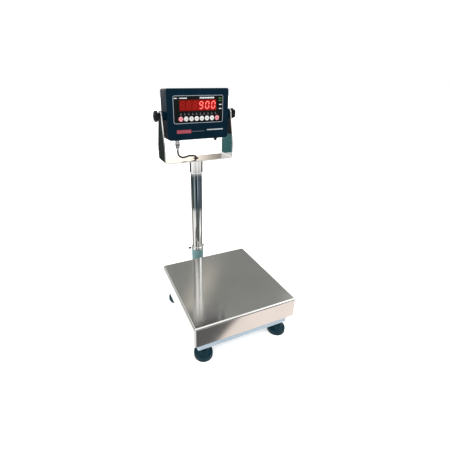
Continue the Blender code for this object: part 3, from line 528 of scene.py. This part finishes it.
# ---------------------------------------------------------------- column and yoke
def make_column():
    """Column with its clamp and sleeve, and the yoke with its grommet and washers."""
    finished("column_tube", edge=FINE_EDGE)
    finished("top_sleeve", "satin", SHEET_EDGE)
    finished("clamp_ring", "polished_steel", FINE_EDGE)
    finished("thumbscrew_shank")
    finished("thumbscrew_ball")
    finished("yoke", "yoke", BENT_EDGE)
    finished("cable_grommet", "black_plastic")
    finished("friction_washer_left", edge=FINE_EDGE)
    finished("friction_washer_right", edge=FINE_EDGE)


# ---------------------------------------------------------------- indicator housing
def make_housing():
    """Indicator housing with everything on and in it."""
    finished("front_housing", edge=MOULDED_EDGE)
    finished("rear_cover", edge=MOULDED_EDGE)
    finished("overlay_panel")
    for node in ("housing_gasket", "led_module", "display_board", "main_board"):
        painted(node, slot_of[node])
    lens = finished("display_lens")
    soft_edges(lens, 0.0002, segments=1)
    make_border()
    make_digits()
    make_prints()
    make_keys()
    make_rear_details()


def make_border():
    """Pale line round the panel."""
    width, height = overlay_high.x - overlay_low.x, overlay_high.z - overlay_low.z
    centre = (overlay_low + overlay_high) / 2
    line, corner, front = 0.0013, 0.005, face_y - LINE_PROUD
    loops = []
    for inset, y in ((0, face_y), (0, front), (line, front), (line, face_y)):
        loops.append([(centre.x + x, y, centre.z + z) for x, z in rounded(width, height, corner, inset)])
    add("panel_border", loft(loops, closed=True), "border", "indicator")


def segment_mesh(kind, x, z, width, height, thick, front):
    """One segment of a seven-segment digit, as a bar with pointed ends."""
    half_w, half_h = width / 2, height / 2
    lean, gap = 0.10, thick * 0.35
    flat = {"a": half_h, "g": 0.0, "d": -half_h}
    if kind in flat:
        reach, level = half_w - gap, flat[kind]
        outline = [(-reach, 0), (-reach + thick / 2, thick / 2), (reach - thick / 2, thick / 2), (reach, 0)]
        outline += [(reach - thick / 2, -thick / 2), (-reach + thick / 2, -thick / 2)]
        points = [(px, pz + level) for px, pz in outline]
    else:
        side = half_w if kind in "bc" else -half_w
        low, high = (0, half_h) if kind in "bf" else (-half_h, 0)
        low, high = low + gap, high - gap
        points = [(0, low), (thick / 2, low + thick / 2), (thick / 2, high - thick / 2), (0, high)]
        points += [(-thick / 2, high - thick / 2), (-thick / 2, low + thick / 2)]
        points = [(px + side, pz) for px, pz in points]
    faces = (front, front + PRINT_THICK)
    return loft([[(x + px + lean * pz, y, z + pz) for px, pz in points] for y in faces])


def make_digits():
    """Seven-segment digits with a point after each; the segments that are off show faintly through a painted
    glow.
    """
    middle = (lens_low + lens_high) / 2
    pitch, width, height, thick = 0.0195, 0.0102, 0.0190, 0.0027
    dot_size, dot_corner, dot_gap = 0.0024, 0.0011, 0.0042
    front = face_y - LINE_PROUD
    lit, unlit = [], []
    for place, text in enumerate(DIGITS):
        x = middle.x + (place - (len(DIGITS) - 1) / 2) * pitch
        for kind in "abcdefg":
            target = lit if kind in SEGMENTS[text] else unlit
            target.append(segment_mesh(kind, x, middle.z, width, height, thick, front))
        dot_x, dot_z = x + width / 2 + dot_gap, middle.z - height / 2
        unlit.append(plate_mesh(dot_x, dot_z, dot_size, dot_size, front, PRINT_THICK, dot_corner))
    add("digits_lit", joined(lit), "digit_on", "indicator")
    # the segments and points that are off carry a faint painted glow
    add("digits_unlit", joined(unlit), "digit_off_painted_glow", "indicator")


def bar(x, z, width, height, front=None):
    """A printed bar, on the panel unless another front is given."""
    if front is None:
        front = face_y - PRINT_PROUD
    return plate_mesh(x, z, width, height, front, PRINT_THICK, min(width, height) * 0.3)


def make_prints():
    """Generic marks on the panel and under it: plain bars and blocks, no lettering."""
    heading = pivot.z + 0.0482
    marks = [bar(-0.0715, heading, 0.009, 0.0022), bar(-0.048, heading, 0.024, 0.0022)]
    first_block, block_pitch, block_rise = 0.0055, 0.0052, 0.0003
    for k in range(9):
        marks.append(bar(first_block + k * block_pitch, heading + block_rise, 0.0043, 0.0042))
    for z in (0.0290, 0.0176):
        marks.append(bar(0.0700, pivot.z + z, 0.0085, 0.0026))
    add("panel_marks_white", joined(marks), "print_white", "indicator")
    lamps = [bar(0.0690, pivot.z + z, 0.0095, 0.0020) for z in (0.0470, 0.0402)]
    add("panel_lamps", joined(lamps), "lamp_green", "indicator")
    first_mark, mark_pitch, row = -0.0565, 0.0123, pivot.z + 0.0060
    small = []
    for k in range(10):
        x = first_mark + k * mark_pitch
        small.append(bar(x, row, 0.0016, 0.0036))
        small.append(bar(x, row - 0.0032, 0.0052, 0.0012))
    add("panel_marks_grey", joined(small), "print_grey", "indicator")
    front = housing_low.y - PRINT_THICK
    badge = plate_mesh(-0.0480, pivot.z - 0.0445, 0.0455, 0.0100, front, thick=0.0005, radius=0.0016)
    add("badge_plate", badge, "print_red", "indicator")
    line = bar(-0.0030, pivot.z - 0.0452, 0.0400, 0.0010, front)
    add("front_line", line, "print_grey", "indicator")
    strip = bar(0.0530, pivot.z - 0.0425, 0.0545, 0.0034, front)
    add("front_strip", strip, "strip", "indicator")


def key_icon(number, x, z, front):
    """A small plain symbol for each key."""
    parts = [bar(x, z, 0.0052, 0.0010, front)]
    if number % 3 == 0:
        parts.append(bar(x, z + 0.0020, 0.0030, 0.0009, front))
    elif number % 3 == 1:
        parts.append(bar(x - 0.0012, z - 0.0020, 0.0022, 0.0009, front))
    else:
        parts.append(bar(x, z + 0.0002, 0.0010, 0.0046, front))
    return parts


def make_keys():
    """The keys, each with a symbol that travels with it."""
    symbol_proud = 0.0001
    for number in range(KEY_COUNT):
        node = f"key_{number + 1}"
        finished(node)
        low, high = (Vector(c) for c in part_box(node))
        x, z = (low.x + high.x) / 2, (low.z + high.z) / 2
        icon = joined(key_icon(number, x, z, low.y - symbol_proud))
        paint = "print_red" if number in (0, KEY_COUNT - 1) else "print_dark"
        add(f"key_icon_{number + 1}", icon, paint, bodies_of[node])


def make_rear_details():
    """Four screws and a blank plate on the rear cover."""
    back = cover_high.y
    width, height = cover_high.x - cover_low.x, cover_high.z - cover_low.z
    centre_z = (cover_high.z + cover_low.z) / 2
    inset, sink = 0.013, 0.0012
    head = [(0, 0.0010), (0.0017, 0.0010), (0.0018, 0.0011), (0.0030, 0.0011)]
    head += [(0.0036, 0.0006), (0.0037, -0.001), (0, -0.001)]
    for number, (sx, sz) in enumerate(((-1, -1), (1, -1), (-1, 1), (1, 1))):
        centre = Vector((sx * (width / 2 - inset), back - sink, centre_z + sz * (height / 2 - inset)))
        screw = turned(head, centre, "Y", 40)
        add(f"cover_screw_{number + 1}", screw, "zinc_steel", "indicator")
    sheet = 0.0004
    plate = plate_mesh(0, centre_z + 0.012, 0.070, 0.036, back - sheet, sheet, 0.002)
    add("cover_blank_plate", plate, "strip", "indicator")


# ---------------------------------------------------------------- fittings, knobs and cable
def make_fittings():
    """The connector and the gland under the housing; returns where the cable comes out."""
    node = "cable_connector"
    low, high = (Vector(c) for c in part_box(node))
    x, y = (low.x + high.x) / 2, (low.y + high.y) / 2
    top = housing_low.z - CLEARANCE
    end = low.z - top
    flange = 0.0008
    r = (high.x - low.x) / 2 - flange
    stem, bore, bore_depth = 0.0045, 0.0031, 0.0036
    nut_top, nut_end, grip_top, grip_end = -0.0001, -0.0036, -0.0076, -0.0180
    profile = [(0, 0.009), (stem, 0.009), (stem, 0)]
    profile += [(r + 0.0006, nut_top), (r + flange, -0.0005), (r + flange, -0.0030), (r + 0.0004, nut_end)]
    profile += [(r - 0.0012, -0.0038), (r - 0.0012, -0.0068), (r - 0.0002, -0.0070)]
    profile += [(r, grip_top), (r, grip_end), (r - 0.0004, -0.0188)]
    profile += [(r - 0.0012, -0.0192), (r - 0.0012, -0.0244), (r - 0.0022, -0.0262)]
    profile += [(r - 0.0030, end + 0.0012), (r - 0.0036, end)]
    profile += [(bore, end), (bore, end + bore_depth), (0, end + bore_depth)]

    def knurl(radius, height, turn):
        """Ridges on the grip and six flats on the nut."""
        if grip_end <= height <= grip_top:
            return radius - 0.0003 * (0.5 + 0.5 * math.cos(32 * turn))
        if nut_end <= height <= nut_top:
            return radius - 0.0006 * math.sin(3 * turn) ** 2
        return radius

    mesh_data = turned(profile, (x, y, top), steps=128, radius_at=knurl)
    connector = add("fine_connector", mesh_data, "chrome", "indicator", 40)
    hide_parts(node)
    finished("power_gland", edge=FINE_EDGE)
    return (x, y, low.z + 0.0040)


def lobed_loop(side, x, radius, depth):
    """Outline of a five-lobed knob across its axis; depth is how far the dips go in."""
    lobes, steps = 5, 120
    points = []
    for k in range(steps):
        turn = 2 * math.pi * k / steps
        reach = radius - depth * (0.5 - 0.5 * math.cos(lobes * turn)) ** 1.5
        points.append(Vector((side * x, pivot.y + reach * math.cos(turn), pivot.z + reach * math.sin(turn))))
    return points


def make_knobs():
    """Five-lobed clamping knobs and their studs; a section is (distance out, radius, depth of the dips)."""
    for side_name, side in (("left", -1), ("right", 1)):
        low, high = (Vector(c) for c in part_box("knob_" + side_name))
        inner, outer = sorted((abs(low.x), abs(high.x)))
        r = (high.y - low.y) / 2 + 0.0009  # radius over the lobes
        face, dip = outer - inner - 0.0001, 0.0038
        hub = [(0.0, 0.0088, 0), (0.0004, 0.0093, 0), (0.0040, 0.0095, 0), (0.0048, 0.0105, 0.0002)]
        lobes = [(0.0052, r - 0.0026, 0.0036), (0.0058, r - 0.0009, dip), (0.0070, r - 0.0002, dip)]
        lobes += [(0.0084, r, dip), (0.0120, r, dip), (0.0136, r - 0.0003, dip)]
        lobes += [(0.0150, r - 0.0014, 0.0037), (0.0160, r - 0.0032, 0.0034), (face, r - 0.0056, 0.0028)]
        recess = [(face, 0.0052, 0), (outer - inner - 0.0008, 0.0048, 0)]
        sections = hub + lobes + recess
        loops = [lobed_loop(side, inner + out, radius, depth) for out, radius, depth in sections]
        body = bodies_of["knob_" + side_name]
        knob = add("fine_knob_" + side_name, loft(loops), "black_plastic", body, 50)
        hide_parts("knob_" + side_name)
        finished("knob_stud_" + side_name)


def route(points, spacing):
    """Points of a smooth curve through the given ones."""
    knots = [Vector(point) for point in points]
    knots = [2 * knots[0] - knots[1], *knots, 2 * knots[-1] - knots[-2]]
    smooth = []
    for before, start, end, after in zip(knots, knots[1:], knots[2:], knots[3:]):
        count = max(1, round((end - start).length / spacing))
        for k in range(count):
            t = k / count
            smooth.append(
                0.5 * (2 * start + (end - before) * t + (2 * before - 5 * start + 4 * end - after) * t**2)
                + 0.5 * (3 * start - before - 3 * end + after) * t**3
            )
    return [*smooth, knots[-2]]


def swept(points, radius):
    """A round tube through the points, with closed ends and no twist."""
    sides = 20
    loops = []
    across = None
    for k, point in enumerate(points):
        ahead = (points[min(k + 1, len(points) - 1)] - points[max(k - 1, 0)]).normalized()
        across = ahead.orthogonal() if across is None else across - ahead * across.dot(ahead)
        across.normalize()
        other = ahead.cross(across)
        turns = [2 * math.pi * i / sides for i in range(sides)]
        loops.append([point + radius * (across * math.cos(t) + other * math.sin(t)) for t in turns])
    return loft(loops)


def make_cable(exit_point):
    """The cable from the connector to the grommet over the column."""
    diameter = 0.0056
    fitting_x, fitting_y = exit_point[0], exit_point[1]
    start = exit_point[2] - CLEARANCE
    points = [
        (fitting_x, fitting_y, start),
        (fitting_x, fitting_y, start - 0.010),
        (fitting_x + 0.0015, fitting_y, plate_top + 0.0185),
        (-0.0565, pivot.y - 0.0035, plate_top + 0.0112),
        (-0.0460, pivot.y - 0.0030, plate_top + 0.0080),
        (-0.0360, pivot.y - 0.0010, plate_top + 0.0090),
        (-0.0260, pivot.y + 0.0010, plate_top + 0.0106),
        (-0.0160, pivot.y + 0.0030, plate_top + 0.0100),
        (-0.0075, column_y - 0.0010, plate_top + 0.0086),
        (-0.0012, column_y, plate_top + 0.0066),
        (0.0002, column_y, plate_top + 0.0040),
    ]
    smooth = route(points, spacing=0.002)
    cable = add("cable_run", swept(smooth, diameter / 2), "cable_jacket", None, 60)
    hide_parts("indicator_cable")
    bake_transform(cable)
    painted("column_cable", "cable_jacket")


# ---------------------------------------------------------------- floor, light and surroundings
def make_floor():
    """Pale floor that glows a little and isn't seen in reflections."""
    mesh = bpy.data.meshes.new("floor")
    size = 40.0
    corners = [(-size, -size, 0), (size, -size, 0), (size, size, 0), (-size, size, 0)]
    mesh.from_pydata(corners, [], [(0, 1, 2, 3)])
    floor = bpy.data.objects.new("floor", mesh)
    bpy.context.collection.objects.link(floor)
    paint = Paint("floor_paint", (0.93, 0.93, 0.93), 0.9)
    paint.shader.inputs["Specular IOR Level"].default_value = 0.1
    cloud = paint.noise(paint.coordinates, FLOOR_CLOUD)
    paint.colour(paint.ramp(cloud, (0.925, 0.925, 0.925), (0.935, 0.935, 0.935)))
    mesh.materials.append(paint.material)
    paint.shader.inputs["Emission Color"].default_value = (1.0, 1.0, 1.0, 1)
    paint.shader.inputs["Emission Strength"].default_value = 0.4
    floor.visible_glossy = False


# What the polished and brushed faces reflect: azimuth and elevation of the middle, half width, half
# height and soft edge in degrees, slant of the sides (azimuth over elevation), and colour. Azimuth 0 is +Y
# and 90 is +X. A later card lies over an earlier one.
BETWEEN_CARDS = (1.16, 1.15, 1.14)
CARDS = (
    # bright ceiling, seen in the pan's front bend, and the light in the column's image in the pan
    (0, 70, 181, 23, 4, 0, (1.75, 1.72, 1.68)),
    (-140, 41, 30, 7, 8, 0, (2.1, 2.05, 1.98)),
    # left skirt, and the yoke's underside as the pan shows it
    (-16, -44, 22, 12, 5, 0, (1.50, 1.48, 1.45)),
    (25, -43, 14, 6, 4, 0, (0.40, 0.40, 0.41)),
    # sides of the pan's top, and what the foot of the column shows of the pan
    (100, 30, 40, 15, 4, 0, (0.34, 0.34, 0.33)),
    (-55, 30, 30, 15, 4, 0, (0.33, 0.33, 0.32)),
    (-98, 32, 8, 14, 3, 0, (0.24, 0.23, 0.23)),
    (177, 32, 9, 14, 3, 0, (0.24, 0.23, 0.23)),
    (-165, 26, 40, 8, 3, 0, (0.11, 0.14, 0.14)),
    # middle of the pan's top, with a warm fan across it
    (27, 37, 19, 15, 7, 0, (0.325, 0.33, 0.315)),
    (20.5, 39.5, 2.2, 5, 2, 0.76, (0.84, 0.78, 0.68)),
    # yoke's plate, the housing's face and the yoke's arms
    (5, 13, 22, 8, 4, 0, (1.55, 1.38, 1.22)),
    (42, 12, 20, 8, 4, 0, (0.36, 0.325, 0.28)),
    (159, -3, 18, 8, 4, 0, (0.02, 0.025, 0.03)),
    (-14, -9, 9, 7, 3, 0, (0.028, 0.038, 0.034)),
    (-31, -9, 8, 7, 3, 0, (0.05, 0.15, 0.155)),
    # sleeve: dark edges, then the lines on it
    (20, -13.9, 80, 1.5, 0.3, 0, (0.03, 0.034, 0.03)),
    (-155, -13.9, 4, 1.5, 1.5, 0, (0.10, 0.10, 0.10)),
    (-131, -13.9, 4, 1.5, 2, 0, (0.65, 0.62, 0.60)),
    (159, -13.9, 4, 1.5, 2, 0, (0.70, 0.68, 0.64)),
    # upper half of the column, then the lines on it
    (0, -19.1, 181, 3.6, 0.5, 0, (0.04, 0.062, 0.064)),
    (-118, -19.1, 16, 3.6, 3, 0, (0.34, 0.43, 0.47)),
    (175.5, -19.1, 9, 3.6, 2.5, 0, (0.42, 0.49, 0.56)),
    (-154, -19.1, 13, 3.6, 2.5, 0, (0.003, 0.010, 0.026)),
    (134, -19.1, 29, 3.6, 4, 0, (0.11, 0.145, 0.19)),
    # lower half of the column
    (180, -29, 42, 8, 3, 0, (0.05, 0.075, 0.08)),
    (-50, -27, 20, 7, 3, 0, (0.20, 0.20, 0.17)),
    (82, -27, 20, 7, 3, 0, (0.06, 0.06, 0.05)),
    # front skirt: its light part and the dark triangle at its left end
    (142, -44, 26, 7.5, 3, 0, (1.36, 1.19, 1.11)),
    (176.1, -49.3, 15, 7, 0.6, 1.84, (0.16, 0.155, 0.155)),
)


def make_world():
    """Surroundings painted card by card; the camera itself sees plain white."""
    world = bpy.data.worlds.new("studio")
    bpy.context.scene.world = world
    world.use_nodes = True
    tree = world.node_tree
    background = tree.nodes["Background"]

    def maths(operation, *inputs):
        node = tree.nodes.new("ShaderNodeMath")
        node.operation = operation
        for socket, value in zip(node.inputs, inputs):
            if isinstance(value, (int, float)):
                socket.default_value = value
            else:
                tree.links.new(value, socket)
        return node.outputs["Value"]

    def fade(distance, half, soft):
        node = tree.nodes.new("ShaderNodeMapRange")
        node.interpolation_type = "SMOOTHSTEP"
        tree.links.new(distance, node.inputs["Value"])
        for key, value in zip(RANGE_SOCKETS, (half - soft, half + soft, 1.0, 0.0)):
            node.inputs[key].default_value = value
        return node.outputs["Result"]

    split = tree.nodes.new("ShaderNodeSeparateXYZ")
    tree.links.new(tree.nodes.new("ShaderNodeTexCoord").outputs["Generated"], split.inputs["Vector"])
    x, y, z = split.outputs
    azimuth = maths("DEGREES", maths("ARCTAN2", x, y))
    elevation = maths("DEGREES", maths("ARCSINE", z))
    colour = None
    for middle, height, half_width, half_height, soft, slant, tint in CARDS:
        rise = maths("SUBTRACT", elevation, float(height))
        turn = maths("WRAP", maths("SUBTRACT", azimuth, float(middle)), 180.0, -180.0)
        across = maths("ABSOLUTE", maths("MULTIPLY_ADD", rise, float(slant), turn))
        above = maths("ABSOLUTE", rise)
        share = maths("MULTIPLY", fade(across, half_width, soft), fade(above, half_height, soft))
        mix = tree.nodes.new("ShaderNodeMixRGB")
        tree.links.new(share, mix.inputs["Fac"])
        if colour is None:
            mix.inputs["Color1"].default_value = (*BETWEEN_CARDS, 1)
        else:
            tree.links.new(colour, mix.inputs["Color1"])
        mix.inputs["Color2"].default_value = (*tint, 1)
        colour = mix.outputs["Color"]
    seen = tree.nodes.new("ShaderNodeLightPath")
    final = tree.nodes.new("ShaderNodeMixRGB")
    tree.links.new(seen.outputs["Is Camera Ray"], final.inputs["Fac"])
    tree.links.new(colour, final.inputs["Color1"])
    final.inputs["Color2"].default_value = (1.0, 1.0, 1.0, 1)
    tree.links.new(final.outputs["Color"], background.inputs["Color"])


def make_lights():
    """Two soft lights; the stronger one isn't seen in reflections."""

    def area(name, place, target, size, power):
        data = bpy.data.lights.new(name, "AREA")
        data.shape = "RECTANGLE"
        data.size, data.size_y = size
        data.energy = power
        light = bpy.data.objects.new(name, data)
        bpy.context.collection.objects.link(light)
        light.location = place
        light.visible_glossy = name != "key_light"
        light.rotation_euler = (Vector(target) - Vector(place)).to_track_quat("-Z", "Y").to_euler()

    area("key_light", place=(-1.3, -1.2, 2.2), target=(0, 0, 0.25), size=(1.6, 1.6), power=28)
    area("fill_light", place=(1.6, -0.9, 1.4), target=(0, 0, 0.3), size=(1.2, 1.6), power=12)


make_pan()
make_feet()
make_base()
make_column()
make_housing()
make_knobs()
make_cable(make_fittings())
make_floor()
make_world()
make_lights()
bpy.context.scene.view_settings.view_transform = "Standard"
